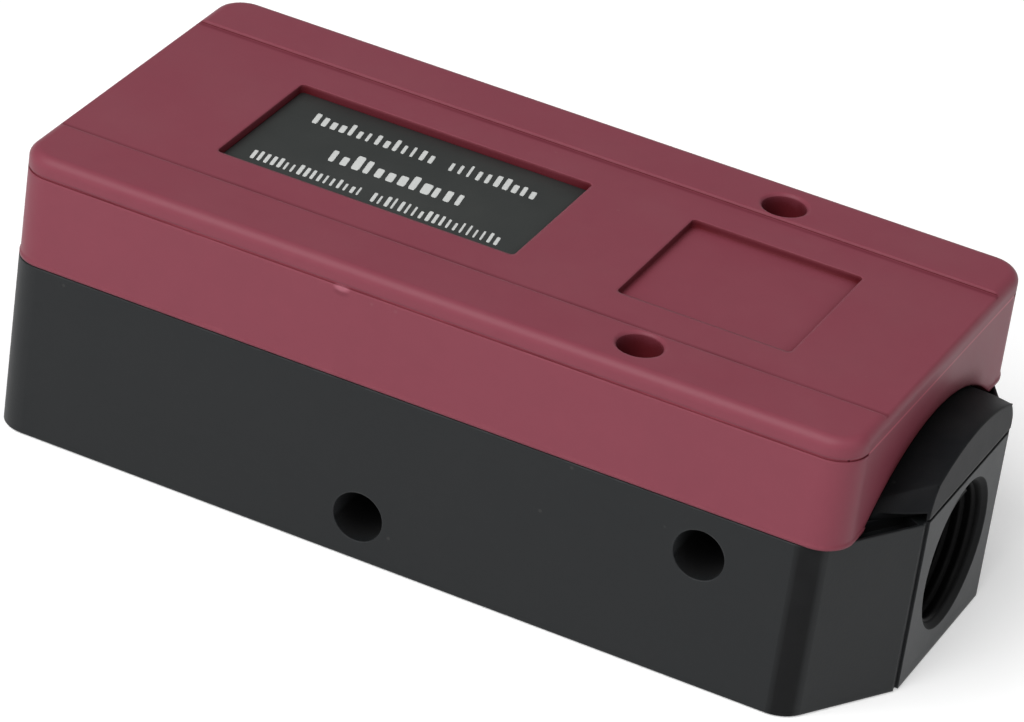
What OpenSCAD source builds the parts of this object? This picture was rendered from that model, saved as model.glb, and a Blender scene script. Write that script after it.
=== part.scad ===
// Multi-stage vacuum ejector: a box housing in three moulded layers.
// The lower body holds the vacuum chamber, the air inlet and the vacuum port.
// The nozzle block on it carries four nozzles in line and three check flaps,
// and ends in an arched hood over the port. The red cover closes the block.
// X runs along the housing towards the vacuum port and Z is up. The origin is on
// the underside, below the middle of the whole length.

/* [Housing] */
// Length of the cover and of the straight part of the body
housing_l = 104.4; // [100:0.2:125]
// Width of the housing
housing_w = 51; // [50:1:58]
// Height of the lower body, up to the split plane
body_h = 22; // [21:0.5:26]
// Height of the cover above the split plane
cover_h = 14; // [13.5:0.5:18]
// Radius of the upright corners
corner_r = 4; // [3:0.5:5]
// Floor thickness of the lower body
floor_t = 2.5; // [2:0.25:4]
// Thickness of the side walls round the vacuum chamber
chamber_wall = 5; // [4.5:0.25:5.5]
// Wall between the chamber and the port thread
end_wall = 3; // [2.5:0.1:3.5]
// Clearance between pieces that are put together by hand
fit_gap = 0.1; // [0.05:0.05:0.15]
// Open seam between the body and the cover
seam_gap = 0.15; // [0.1:0.05:0.3]

/* [Port end] */
// How far the port face stands out past the cover
nose_out = 5.2; // [4:0.2:8]
// Width of the port face
nose_w = 24.6; // [22:0.2:30]
// Length of the slanted flanks beside the port face
taper_l = 8.2; // [6:0.2:10]
// Radius where a side turns into its slanted flank
bend_r = 4; // [2:0.5:5]
// Width and depth of the rebate at each upright edge of the port face
rebate = 0.4; // [0.3:0.1:0.8]
// Crown height of the hood above the split plane
hood_h = 6.4; // [5.5:0.2:7.5]
// Radius of the hood's arch
hood_r = 29.4; // [24:0.2:40]
// Set-back of the hood's flanks from the body's, behind the port face
hood_inset = 2.6; // [1:0.2:3.6]
// Open seam between the body and the hood
hood_gap = 0.5; // [0.3:0.05:0.6]
// Radius of the hood's shoulders, where its arch turns into its flanks
shoulder_r = 4; // [2.5:0.1:4.5]
// Height of the undercut along the foot of each flank of the hood
undercut_h = 0.9; // [0.5:0.1:1.2]
// Depth of that undercut
undercut_d = 1.2; // [0.8:0.1:1.6]
// Depth of the pockets in the body beside the hood
pocket_d = 1.5; // [1:0.1:2]
// Rim of the body left outside each pocket
pocket_rim = 0.35; // [0.3:0.05:0.6]
// Clearance between the hood and its window in the cover
window_gap = 0.4; // [0.2:0.1:0.6]

/* [Vacuum port] */
// Height of the vacuum port's axis
port_z = 11.9; // [11:0.1:12.5]
// Major radius of the G3/8 port thread
port_r = 8.33; // [6.6:0.01:8.4]
// Length of the port thread
port_l = 14; // [10:0.5:15]
// Radius of the passage behind the thread
passage_r = 6.5; // [5:0.25:7]
// Lead-in chamfer of the port and the inlet
lead_in = 0.8; // [0.4:0.1:1.2]

/* [Air inlet] */
// Major radius of the G1/8 inlet thread
inlet_r = 4.86; // [4:0.01:5]
// Length of the brass insert
insert_l = 7; // [6:0.5:7.5]
// Radius of the insert's flange
insert_flange_r = 7.2; // [6.8:0.1:8]
// Thickness of the insert's flange
insert_flange_t = 1.2; // [1:0.1:2]
// Radius of the insert's barrel
insert_r = 6.4; // [6:0.1:6.6]
// Free depth between the insert and the strainer, for the fitting's tip
strainer_gap = 1.2; // [1.1:0.1:1.3]
// Thickness of the strainer disc
strainer_t = 1; // [0.8:0.1:1.1]
// Distance of the air riser from the inlet face
riser_in = 11.2; // [11.2:0.1:11.6]
// Radius of the air riser
riser_r = 1.9; // [1.5:0.1:1.9]

/* [Mounting holes] */
// Radius of the two cross holes
mount_r = 3.1; // [2.6:0.05:3.3]
// Place of the low cross hole along the housing
low_x = -4.6; // [-7:0.1:-3]
// Height of the low cross hole
low_z = 5.4; // [5:0.1:6.5]
// Distance of the high cross hole from the cover's port end
high_in = 15.9; // [15.2:0.1:16]
// Height of the high cross hole
high_z = 16.4; // [15.8:0.1:16.6]
// Wall round each cross hole inside the chamber
mount_wall = 2.2; // [1.8:0.1:2.4]

/* [Cover] */
// Wall thickness of the cover
cover_wall = 2.2; // [1.8:0.1:2.6]
// Roof thickness of the cover
roof_t = 3; // [2.8:0.1:3.4]
// Fillet radius of the top edges
top_r = 1.3; // [1:0.1:1.8]
// Height of the band above the fine groove along the cover's long sides
band_h = 2.3; // [2.1:0.1:3]
// Height of that groove
line_h = 0.3; // [0.2:0.05:0.5]
// Depth of that groove
line_d = 0.2; // [0.1:0.05:0.3]
// Height of the lip round the cover's lower edge
lip_h = 0.35; // [0.3:0.05:0.6]
// How far the lip stands out
lip_out = 0.12; // [0.08:0.02:0.2]
// Width of the sunk centre panel
panel_w = 33.2; // [30:0.2:34]
// Depth of the sunk centre panel
panel_d = 0.3; // [0.2:0.05:0.45]
// Length of the nameplate recess
plate_l = 38; // [30:0.5:42]
// Width of the nameplate recess and of the square recess
recess_w = 21; // [18:0.5:24]
// Depth of the nameplate recess below the panel
plate_d = 1.4; // [1:0.1:1.6]
// Distance of the nameplate recess from the cover's closed end
plate_in = 17.7; // [12:0.1:22]
// Length of the square recess
mark_l = 21.3; // [16:0.1:24]
// Depth of the square recess below the panel
mark_d = 0.9; // [0.5:0.1:1.1]
// Distance of the square recess from the cover's port end
mark_in = 14.6; // [10:0.1:17]
// Thickness of the nameplate
nameplate_t = 0.4; // [0.3:0.1:0.8]

/* [Screws] */
// Distance of the two cover screws from the cover's port end
screw_in = 28.6; // [28:0.1:29.4]
// Distance of the cover screws from the sides
screw_edge = 5.6; // [5.4:0.1:5.8]
// Radius of the screw shanks
screw_r = 1.5; // [1.2:0.05:1.6]
// Radius of the screw heads
head_r = 2.45; // [2.2:0.05:2.6]
// Height of the screw heads
head_h = 1.7; // [1.5:0.1:2]
// Depth of the cover screw heads below the top
head_sunk = 3; // [2.4:0.1:3.2]
// Depth of the block screw heads above the underside
foot_sunk = 1; // [0.6:0.1:1.6]
// Depth of the cover screws in the lower body
screw_bite = 10; // [6:0.5:12]
// Distance of the block screws from the ends of the cover
block_screw_in = 7; // [6.5:0.1:7.5]
// Distance of the block screws from the sides
block_screw_edge = 5.9; // [5.7:0.1:6.3]
// Depth of the block screws in the nozzle block
block_bite = 7; // [5:0.5:8]

/* [Nozzle block] */
// Clearance between the block and the cover's walls
block_gap = 0.3; // [0.2:0.05:0.5]
// Thickness of the block's floor and outer walls
block_wall = 2; // [1.6:0.1:2.4]
// Floor thickness of the block
block_floor = 1.5; // [1.2:0.1:1.8]
// Inner width of the nozzle channel
channel_w = 18; // [17:0.5:19]
// Thickness of the channel's long walls
channel_wall = 2; // [1.6:0.1:2.4]
// Depth of the stage chambers below the split plane
keel = 2.5; // [2.2:0.1:2.8]
// Length of the inlet plenum
plenum_l = 9; // [8.6:0.1:9.6]
// Thickness of the four nozzle partitions
partition_t = 4; // [3.5:0.1:4.5]
// Shares of the three stage chambers in the length that they fill together
stage_share = [14, 16, 21];
// Length of the exhaust chamber behind the last nozzle
exhaust_l = 17.4; // [16:0.2:20]
// Depth of the nozzle axis below the block's top
nozzle_down = 4.6; // [4.4:0.1:5]

/* [Nozzles] */
// Radius of the nozzle barrels in the partitions
barrel_r = 3.4; // [3.2:0.05:3.6]
// Radius of the nozzle flanges
flange_r = 4; // [3.8:0.05:4.2]
// Thickness of the nozzle flanges
flange_t = 1.5; // [1.2:0.1:2]
// Throat radius of each nozzle
throat_r = [0.55, 0.95, 1.35, 1.8];
// Outer radius of each nozzle's tail
tail_r = [1.9, 2.3, 2.7, 3.1];
// Free gap from each nozzle's tail to the next nozzle
jet_gap = 2.5; // [2:0.1:3.5]
// Section radius of the nozzle seals
seal_r = 0.45; // [0.35:0.05:0.5]

/* [Check flaps] */
// Free gap between a flap's tip and the end of the shortest chamber
flap_gap = 1.1; // [0.9:0.1:1.5]
// Width of a flap
flap_w = 15; // [13:0.1:15.5]
// Thickness of a flap
flap_t = 0.8; // [0.6:0.05:1]
// Radius of the hinge bead
bead_r = 0.75; // [0.6:0.05:0.9]
// Running clearance of the bead in its hooks
bead_gap = 0.05; // [0.03:0.01:0.08]
// Distance of a hinge from the start of its chamber
hinge_in = 2.4; // [2.4:0.1:2.8]
// Length by which a flap is longer than the windows below it
flap_lap = 4; // [3.6:0.1:4.6]

/* [Seals and silencer] */
// Thickness of the cover gasket
gasket_t = 0.8; // [0.6:0.1:1]
// Width of the body gasket
cord_w = 1.2; // [1:0.1:1.3]
// Depth of the body gasket's groove
cord_h = 1; // [0.8:0.1:1.2]
// Clearance round the silencer bars
bar_gap = 0.2; // [0.1:0.05:0.4]
// Width of an exhaust slot
slot_w = 1.2; // [1:0.1:1.3]
// Height of an exhaust slot
slot_h = 5.5; // [4:0.5:6]
// Pitch of the exhaust slots
slot_pitch = 2; // [1.8:0.1:2]
// Exhaust slots on each side
slot_n = 3; // [2:1:3]

/* [Hidden] */
$fn = 64;

BLACK = [0.13, 0.135, 0.14];
RED = [0.5, 0.2, 0.24];
RUBBER = [0.07, 0.07, 0.075];
BRASS = [0.78, 0.63, 0.34];
STEEL = [0.68, 0.68, 0.7];
FELT = [0.86, 0.85, 0.82];

eps = 0.01;
half_l = housing_l / 2;
half_w = housing_w / 2;
port_x = half_l + nose_out;
taper_x = port_x - taper_l;
high_x = half_l - high_in;
screw_x = half_l - screw_in;
screw_y = half_w - screw_edge;
top_z = body_h + cover_h;
ceiling_z = top_z - roof_t;
panel_z = top_z - panel_d;

// Block
block_x = half_l - cover_wall - block_gap;
block_y = half_w - cover_wall - block_gap;
inner_r = corner_r - cover_wall;
block_top = ceiling_z - gasket_t;
deck_z = body_h + block_floor;
keel_z = body_h - keel;
channel_y = channel_w / 2;
channel_out = channel_y + channel_wall;
lane_y = block_y - block_wall;
nozzle_z = block_top - nozzle_down;
plenum_x = -block_x + 2 * block_wall;
exhaust_x = block_x - block_wall - exhaust_l;
partition_1 = plenum_x + plenum_l;
stages_l = exhaust_x - partition_1 - 4 * partition_t;
stage_l = [for (share = stage_share) stages_l * share / (stage_share * [1, 1, 1])];
partition_2 = partition_1 + partition_t + stage_l[0];
partition_3 = partition_2 + partition_t + stage_l[1];
partition_4 = partition_3 + partition_t + stage_l[2];
partition_x = [partition_1, partition_2, partition_3, partition_4];
stage_x = [for (i = [0:2]) partition_x[i] + partition_t];
hinge_x = [for (x = stage_x) x + hinge_in];
hinge_z = keel_z + flap_t;
flap_l = min(stage_l) - hinge_in - flap_gap;
window_l = flap_l - flap_lap;
hook_r = bead_r + bead_gap + 0.7;
slot_land = 0.8;

// Lower body chamber
riser_x = -half_l + riser_in;
strainer_x = -half_l + insert_l + strainer_gap;
strainer_r = inlet_r + 0.5;
chamber_x0 = partition_1 + partition_t / 2;
chamber_x1 = port_x - port_l - end_wall;
chamber_y = half_w - chamber_wall;
cord_margin = 0.7;

// Screws
cord_r = screw_r + fit_gap + 0.5;
boss_r = cord_r + cord_w + 0.4;
cover_boss_z = top_z - head_sunk - head_h - 1.7;
hole_bevel = 0.3;
block_screw_x = half_l - block_screw_in;
block_screw_y = half_w - block_screw_edge;
block_boss_r = screw_r + 1.1;

// Flanks of the body and of the hood, seen from above: the middle of the port
// face, their angles to the housing's axis, and the hood's foot at the cover
face_y = nose_w / 2;
flank_angle = atan2(half_w - face_y, taper_l);
root_y = face_y + nose_out * tan(flank_angle) - hood_inset;
hood_angle = atan2(root_y - face_y, nose_out);

// ---- Plan outlines, with true arcs at their corners ----

function unit(v) = v / norm(v);
function half_angle(a, b, c) = acos(unit(a - b) * unit(c - b)) / 2;
function arc_centre(a, b, c, r) =
    b + unit(unit(a - b) + unit(c - b)) * r / sin(half_angle(a, b, c));
function arc_foot(a, b, c, r) = b + unit(a - b) * r / tan(half_angle(a, b, c));

// A convex outline whose corners are rounded by their own radii
module rounded_outline(corners, radii) {
    n = len(corners);
    before = [for (i = [0:n - 1]) corners[(i + n - 1) % n]];
    after = [for (i = [0:n - 1]) corners[(i + 1) % n]];
    polygon([for (i = [0:n - 1]) each [
        arc_foot(before[i], corners[i], after[i], radii[i]),
        arc_foot(after[i], corners[i], before[i], radii[i])]]);
    for (i = [0:n - 1])
        translate(arc_centre(before[i], corners[i], after[i], radii[i]))
            circle(r = radii[i]);
}

module round_rect(l, w, r) {
    square([l - 2 * r, w], center = true);
    square([l, w - 2 * r], center = true);
    for (sx = [-1, 1], sy = [-1, 1])
        translate([sx * (l / 2 - r), sy * (w / 2 - r)])
            circle(r = r);
}

// A box between two corners, given by its ends along each axis
module span(x0, x1, y0, y1, z0, z1) {
    translate([x0, y0, z0])
        cube([x1 - x0, y1 - y0, z1 - z0]);
}

// Outline of the body, with slanted flanks beside the port face
module body_outline() {
    rounded_outline(
        [[-half_l, -half_w], [taper_x, -half_w], [port_x, -face_y],
         [port_x, face_y], [taper_x, half_w], [-half_l, half_w]],
        [corner_r, bend_r, rebate / 2, rebate / 2, bend_r, corner_r]);
}

// Outline of the hood, whose flanks leave the body's towards the cover
module hood_outline() {
    rounded_outline(
        [[block_x - 1, -root_y], [half_l, -root_y], [port_x, -face_y],
         [port_x, face_y], [half_l, root_y], [block_x - 1, root_y]],
        [0.2, 0.4, rebate, rebate, 0.4, 0.2]);
}

// Hood arch as seen from the port end, grown by a clearance
module arch(grow = 0) {
    intersection() {
        translate([0, body_h + hood_h - hood_r])
            circle(r = hood_r + grow, $fn = 180);
        translate([-housing_w, body_h])
            square([2 * housing_w, 2 * hood_h]);
    }
}

// Puts the middle of the whole length over the origin; x is measured from the
// middle of the cover everywhere else
module centred() {
    translate([-nose_out / 2, 0, 0])
        children();
}

// ---- Lower body ----

module cross_hole(x, z, r) {
    translate([x, 0, z])
        rotate([90, 0, 0])
            cylinder(r = r, h = housing_w + 2, center = true);
}

module bore_x(x0, x1, z, r0, r1) {
    translate([x0, 0, z])
        rotate([0, 90, 0])
            cylinder(r1 = r0, r2 = r1, h = x1 - x0);
}

// Four places, one for each block screw
function block_screw_at(i) =
    [(i % 2 == 0 ? -1 : 1) * block_screw_x, (i < 2 ? -1 : 1) * block_screw_y, 0];

module vacuum_chamber() {
    difference() {
        span(chamber_x0, chamber_x1, -chamber_y, chamber_y, floor_t, body_h + 1);
        cross_hole(low_x, low_z, mount_r + mount_wall);
        cross_hole(high_x, high_z, mount_r + mount_wall);
        for (side = [-1, 1])
            translate([screw_x, side * screw_y, 0])
                cylinder(r = boss_r, h = body_h);
    }
}

module port_bore() {
    bore_x(port_x - port_l, port_x + 1, port_z, port_r, port_r);
    bore_x(port_x - lead_in, port_x + eps, port_z, port_r, port_r + lead_in);
    bore_x(chamber_x1 - fit_gap, port_x - port_l + 1, port_z, passage_r, passage_r);
}

module inlet_bore() {
    flange_x = -half_l + insert_flange_t;
    seat_x = -half_l + insert_l;
    bore_x(-half_l - 1, flange_x, port_z, insert_flange_r + fit_gap, insert_flange_r + fit_gap);
    bore_x(-half_l, seat_x, port_z, insert_r + fit_gap, insert_r + fit_gap);
    bore_x(seat_x - eps, strainer_x + strainer_t, port_z, strainer_r + fit_gap, strainer_r + fit_gap);
    bore_x(strainer_x, riser_x + riser_r / 2, port_z, inlet_r - 1, inlet_r - 1);
    translate([riser_x, 0, port_z])
        cylinder(r = riser_r, h = body_h);
}

// One closed line round the chamber, which steps inside the cover screws
module gasket_outline(grow) {
    x0 = chamber_x0 - cord_margin;
    x1 = chamber_x1 + cord_margin;
    y1 = chamber_y + cord_margin;
    difference() {
        translate([(x0 + x1) / 2, 0])
            round_rect(x1 - x0 + 2 * grow, 2 * y1 + 2 * grow, 1 + grow);
        for (side = [-1, 1])
            translate([screw_x, side * screw_y])
                circle(r = cord_r + cord_w - grow);
    }
}

module gasket_ring(h) {
    linear_extrude(h)
        difference() {
            gasket_outline(cord_w);
            gasket_outline(0);
        }
}

// From the far corner of the port face, back along a flank; y points inwards
module along_flank(angle, z) {
    translate([port_x, face_y, z])
        rotate([0, 0, 180 - angle])
            children();
}

// Sunk pocket along the far flank, under and beside the hood's foot
module hood_pocket() {
    start = 1.2;
    end = nose_out / cos(flank_angle) + 0.5;
    along_flank(flank_angle, body_h - pocket_d)
        translate([start, pocket_rim, 0])
            cube([end - start, undercut_d + hood_inset * cos(flank_angle), pocket_d + 1]);
}

module lower_body() {
    color(BLACK)
    centred()
    difference() {
        linear_extrude(body_h)
            body_outline();
        for (side = [-1, 1])
            translate([port_x, side * nose_w / 2, body_h / 2])
                cube([2 * rebate, 2 * rebate, body_h + 1], center = true);
        vacuum_chamber();
        port_bore();
        inlet_bore();
        cross_hole(low_x, low_z, mount_r);
        cross_hole(high_x, high_z, mount_r);
        translate([0, 0, body_h - cord_h])
            gasket_ring(cord_h + 1);
        riser_groove();
        for (side = [-1, 1]) {
            mirror([0, side < 0 ? 1 : 0, 0])
                hood_pocket();
            translate([screw_x, side * screw_y, body_h - screw_bite])
                cylinder(r = screw_r + fit_gap, h = screw_bite + 1);
        }
        for (i = [0:3])
            translate(block_screw_at(i)) {
                translate([0, 0, -1])
                    cylinder(r = screw_r + 2 * fit_gap, h = body_h + 2);
                translate([0, 0, -1])
                    cylinder(r = head_r + 2 * fit_gap, h = 1 + foot_sunk + head_h);
            }
    }
}

// ---- Nozzle block ----

// Height of the hood's arch at a distance from the middle line
function arch_z(y) = body_h + hood_h - hood_r + sqrt(hood_r * hood_r - y * y);

// What the rounding of the far shoulder takes off. It runs along the edge between
// the arch and the flank, which sinks by "fall" towards the cover; "lean" is the
// slope of the arch across that edge, at its lower end.
module shoulder_cut() {
    edge_l = norm([nose_out, root_y - face_y]);
    fall = atan2(arch_z(face_y) - arch_z(root_y), edge_l);
    lean = asin(root_y / hood_r * cos(hood_angle));
    touch = shoulder_r * tan(45 - lean / 2);
    along_flank(hood_angle, arch_z(face_y))
        rotate([0, fall, 0])
            translate([-1, 0, 0])
                rotate([90, 0, 90])
                    linear_extrude(edge_l + 3)
                        difference() {
                            polygon([[-1, -touch], [shoulder_r, -touch],
                                     touch * [cos(lean), sin(lean)],
                                     touch * [cos(lean), sin(lean)] + [0, 0.5], [-1, 1]]);
                            translate([shoulder_r, -touch])
                                circle(r = shoulder_r, $fn = 96);
                        }
}

module hood() {
    difference() {
        intersection() {
            translate([0, 0, body_h + hood_gap])
                linear_extrude(hood_h)
                    hood_outline();
            rotate([90, 0, 90])
                linear_extrude(port_x + 1)
                    arch();
            span(block_x - eps, port_x, -half_w, half_w, body_h, top_z);
        }
        for (side = [0, 1])
            mirror([0, side, 0]) {
                shoulder_cut();
                along_flank(hood_angle, body_h)
                    translate([rebate, -1, 0])
                        cube([housing_w / 4, 1 + undercut_d, hood_gap + undercut_h]);
            }
    }
}

module exhaust_slots(x0, x1) {
    first_y = channel_out + slot_land + slot_w / 2;
    for (side = [-1, 1], i = [0:slot_n - 1])
        translate([x0, side * (first_y + i * slot_pitch), deck_z + 1 + slot_w / 2])
            rotate([90, 0, 90])
                linear_extrude(x1 - x0) {
                    circle(d = slot_w);
                    translate([0, slot_h - slot_w])
                        circle(d = slot_w);
                    translate([-slot_w / 2, 0])
                        square([slot_w, slot_h - slot_w]);
                }
}

// A pair of hooks that a flap's bead snaps into; they leave its flap free
module flap_hooks(x) {
    for (side = [-1, 1])
        translate([x, side * flap_w / 2 - side * 2.5, hinge_z])
            rotate([90, 0, 0])
                linear_extrude(3, center = true)
                    difference() {
                        union() {
                            circle(r = hook_r);
                            translate([-hook_r, -flap_t - eps])
                                square([hook_r, flap_t + eps]);
                        }
                        circle(r = bead_r + bead_gap);
                        translate([0, -hook_r - 1])
                            square([hook_r + 1, hook_r + 1]);
                        polygon([[0, 0], [2 * hook_r, 0], [2 * hook_r, 1.2 * hook_r]]);
                        translate([-hook_r - 1, -hook_r - flap_t - 2 * eps])
                            square([hook_r + 1, hook_r]);
                    }
}

module valve_windows(x) {
    for (side = [-1, 1])
        span(x + flap_l - 1.2 - window_l, x + flap_l - 1.2,
            side > 0 ? 0.7 : -flap_w / 2 + 1.2, side > 0 ? flap_w / 2 - 1.2 : -0.7,
            keel_z - block_floor - 1, keel_z + 1);
}

module block_body() {
    translate([0, 0, body_h])
        linear_extrude(block_top - body_h)
            round_rect(2 * block_x, 2 * block_y, inner_r);
    span(partition_1 + partition_t / 2 + 1, exhaust_x, -channel_out, channel_out,
        keel_z - block_floor, body_h + eps);
    hood();
}

module block_hollows() {
    span(plenum_x, partition_1, -channel_y, channel_y, deck_z, top_z);
    for (i = [0:2])
        span(stage_x[i], partition_x[i + 1], -channel_y, channel_y, keel_z, top_z);
    difference() {
        union() {
            for (side = [-1, 1])
                span(-block_x + block_wall, exhaust_x + 1,
                    side > 0 ? channel_out : -lane_y, side > 0 ? lane_y : -channel_out,
                    deck_z, top_z);
            span(exhaust_x, block_x - block_wall, -lane_y, lane_y, deck_z, top_z);
        }
        for (side = [-1, 1])
            translate([screw_x, side * screw_y, body_h])
                cylinder(r = boss_r, h = cover_h);
        for (i = [0:3])
            translate(block_screw_at(i) + [0, 0, body_h])
                cylinder(r = block_boss_r, h = block_bite + 1.5);
    }
}

module nozzle_block() {
    color(BLACK)
    centred() {
        difference() {
            block_body();
            block_hollows();
            for (x = partition_x)
                bore_x(x - 1, x + partition_t + 1, nozzle_z, barrel_r + fit_gap, barrel_r + fit_gap);
            for (x = hinge_x)
                valve_windows(x);
            exhaust_slots(-block_x - 1, -block_x + block_wall + eps);
            translate([riser_x, 0, body_h - 1])
                cylinder(r = riser_r, h = block_floor + 2);
            for (side = [-1, 1])
                translate([screw_x, side * screw_y, body_h - 1]) {
                    cylinder(r = screw_r + 2 * fit_gap, h = cover_h);
                    translate([0, 0, cover_boss_z - body_h + 1])
                        cylinder(r = boss_r + 2 * fit_gap, h = cover_h);
                }
            for (i = [0:3])
                translate(block_screw_at(i) + [0, 0, body_h - 1])
                    cylinder(r = screw_r + fit_gap, h = block_bite + 1);
        }
        for (x = hinge_x)
            flap_hooks(x);
    }
}

// ---- Cover ----

// End view of a slab with rounded upper edges
module slab_profile(w, h, r) {
    translate([-w / 2, 0])
        square([w, h - r]);
    translate([r - w / 2, 0])
        square([w - 2 * r, h]);
    for (side = [-1, 1])
        translate([side * (w / 2 - r), h - r])
            circle(r = r);
}

// End view of the cover: rounded upper edges, and a lip along the lower ones
module cover_profile(w, h) {
    half = w / 2;
    inner = half - lip_out;
    slab_profile(2 * inner, h, top_r);
    polygon([[-half, 0], [half, 0], [half, lip_h], [inner, lip_h + lip_out],
             [-inner, lip_h + lip_out], [-half, lip_h]]);
}

// Sweeps an end view round a rounded rectangle: two prisms and four turned corners
module swept_slab(l, w, r) {
    rotate([90, 0, 90])
        linear_extrude(l - 2 * r, center = true)
            children(0);
    rotate([90, 0, 0])
        linear_extrude(w - 2 * r, center = true)
            children(1);
    for (sx = [-1, 1], sy = [-1, 1])
        translate([sx * (l / 2 - r), sy * (w / 2 - r), 0])
            rotate_extrude()
                intersection() {
                    children(2);
                    square([r, cover_h]);
                }
}

// Fine groove along each long side and round its corners
module side_line() {
    l = housing_l - 2 * lip_out;
    w = housing_w - 2 * lip_out;
    r = corner_r - lip_out;
    translate([0, 0, top_z - band_h - line_h])
        linear_extrude(line_h)
            difference() {
                round_rect(l + 2, w + 2, r + 1);
                round_rect(l - 2 * line_d, w - 2 * line_d, r - line_d);
                square([l + 3, w - 2 * r], center = true);
            }
}

module cover_skin() {
    skirt_z = body_h + seam_gap;
    skin_h = top_z - skirt_z;
    difference() {
        translate([0, 0, skirt_z])
            swept_slab(housing_l, housing_w, corner_r) {
                cover_profile(housing_w, skin_h);
                cover_profile(housing_l, skin_h);
                cover_profile(2 * corner_r, skin_h);
            }
        side_line();
    }
}

module cover_recesses() {
    plate_x = -half_l + plate_in + plate_l / 2;
    mark_x = half_l - mark_in - mark_l / 2;
    bevel = panel_d * 2 / 3;
    rotate([90, 0, 90])
        linear_extrude(housing_l + 2, center = true)
            for (side = [-1, 1])
                scale([side, 1])
                    polygon([[0, panel_z], [panel_w / 2, panel_z], [panel_w / 2, top_z - bevel],
                             [panel_w / 2 + bevel, top_z], [panel_w / 2 + bevel, top_z + 1],
                             [0, top_z + 1]]);
    translate([plate_x, 0, panel_z - plate_d])
        linear_extrude(plate_d + 1)
            round_rect(plate_l, recess_w, 0.6);
    translate([mark_x, 0, panel_z - mark_d])
        linear_extrude(mark_d + 1)
            round_rect(mark_l, recess_w, 0.6);
}

module top_cover() {
    inner_x = half_l - cover_wall;
    inner_y = half_w - cover_wall;
    color(RED)
    centred()
    difference() {
        union() {
            difference() {
                cover_skin();
                translate([0, 0, body_h - 1])
                    linear_extrude(ceiling_z - body_h + 1)
                        round_rect(2 * inner_x, 2 * inner_y, inner_r);
            }
            for (side = [-1, 1])
                translate([screw_x, side * screw_y, cover_boss_z])
                    cylinder(r = boss_r, h = ceiling_z - cover_boss_z + eps);
        }
        cover_recesses();
        translate([half_l - cover_wall - 1, 0, 0])
            rotate([90, 0, 90])
                linear_extrude(cover_wall + 2)
                    arch(window_gap);
        exhaust_slots(-half_l - 1, -half_l + cover_wall + 1);
        for (side = [-1, 1])
            translate([screw_x, side * screw_y, 0]) {
                cylinder(r = screw_r + 2 * fit_gap, h = top_z);
                translate([0, 0, top_z - head_sunk - head_h])
                    cylinder(r = head_r + 0.2, h = cover_h);
                translate([0, 0, top_z - hole_bevel])
                    cylinder(r1 = head_r + 0.2, r2 = head_r + 1.2, h = 1);
            }
    }
}

module nameplate() {
    plate_x = -half_l + plate_in + plate_l / 2;
    color(BLACK)
    centred()
    translate([plate_x, 0, panel_z - plate_d])
        linear_extrude(nameplate_t)
            round_rect(plate_l - 2 * fit_gap, recess_w - 2 * fit_gap, 0.5);
}

// ---- Seals ----

module body_gasket() {
    color(RUBBER)
    centred()
    translate([0, 0, body_h - cord_h])
        gasket_ring(cord_h);
}

module cover_gasket() {
    color(RUBBER)
    centred()
    difference() {
        span(plenum_x - channel_wall, exhaust_x, -channel_out, channel_out,
            block_top, block_top + gasket_t);
        span(plenum_x, partition_1, -channel_y, channel_y, block_top - 1, ceiling_z + 1);
        for (i = [0:2])
            span(stage_x[i], partition_x[i + 1], -channel_y, channel_y,
                block_top - 1, ceiling_z + 1);
    }
}

module ring_seal(ring_r, section_r) {
    rotate_extrude()
        translate([ring_r, 0])
            circle(r = section_r, $fn = 32);
}

riser_ring_r = riser_r + 0.6 + seal_r;

module riser_groove() {
    translate([riser_x, 0, body_h - 2 * seal_r])
        difference() {
            cylinder(r = riser_ring_r + seal_r + fit_gap / 2, h = 2);
            translate([0, 0, -1])
                cylinder(r = riser_ring_r - seal_r - fit_gap / 2, h = 4);
        }
}

module riser_seal() {
    color(RUBBER)
    centred()
    translate([riser_x, 0, body_h - seal_r])
        ring_seal(riser_ring_r, seal_r);
}

module nozzle_seal(i) {
    color(RUBBER)
    centred()
    translate([partition_x[i] + partition_t / 2, 0, nozzle_z])
        rotate([0, 90, 0])
            ring_seal(barrel_r + fit_gap - seal_r, seal_r);
}

// ---- Air inlet ----

module inlet_insert() {
    groove = 0.5;
    land = (insert_l - insert_flange_t) / 5;
    color(BRASS)
    centred()
    translate([-half_l, 0, port_z])
        rotate([0, 90, 0])
            difference() {
                rotate_extrude()
                    difference() {
                        polygon([[inlet_r, 0], [insert_flange_r, 0],
                                 [insert_flange_r, insert_flange_t],
                                 [insert_r, insert_flange_t],
                                 [insert_r, insert_l], [inlet_r, insert_l]]);
                        for (i = [1, 3])
                            translate([insert_r - groove, insert_flange_t + i * land])
                                square([groove + 1, land]);
                    }
                translate([0, 0, -eps])
                    cylinder(r1 = inlet_r + lead_in, r2 = inlet_r, h = lead_in);
            }
}

module inlet_strainer() {
    color(BRASS)
    centred()
    translate([strainer_x, 0, port_z])
        rotate([0, 90, 0])
            cylinder(r = strainer_r, h = strainer_t);
}

// ---- Nozzles ----

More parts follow.
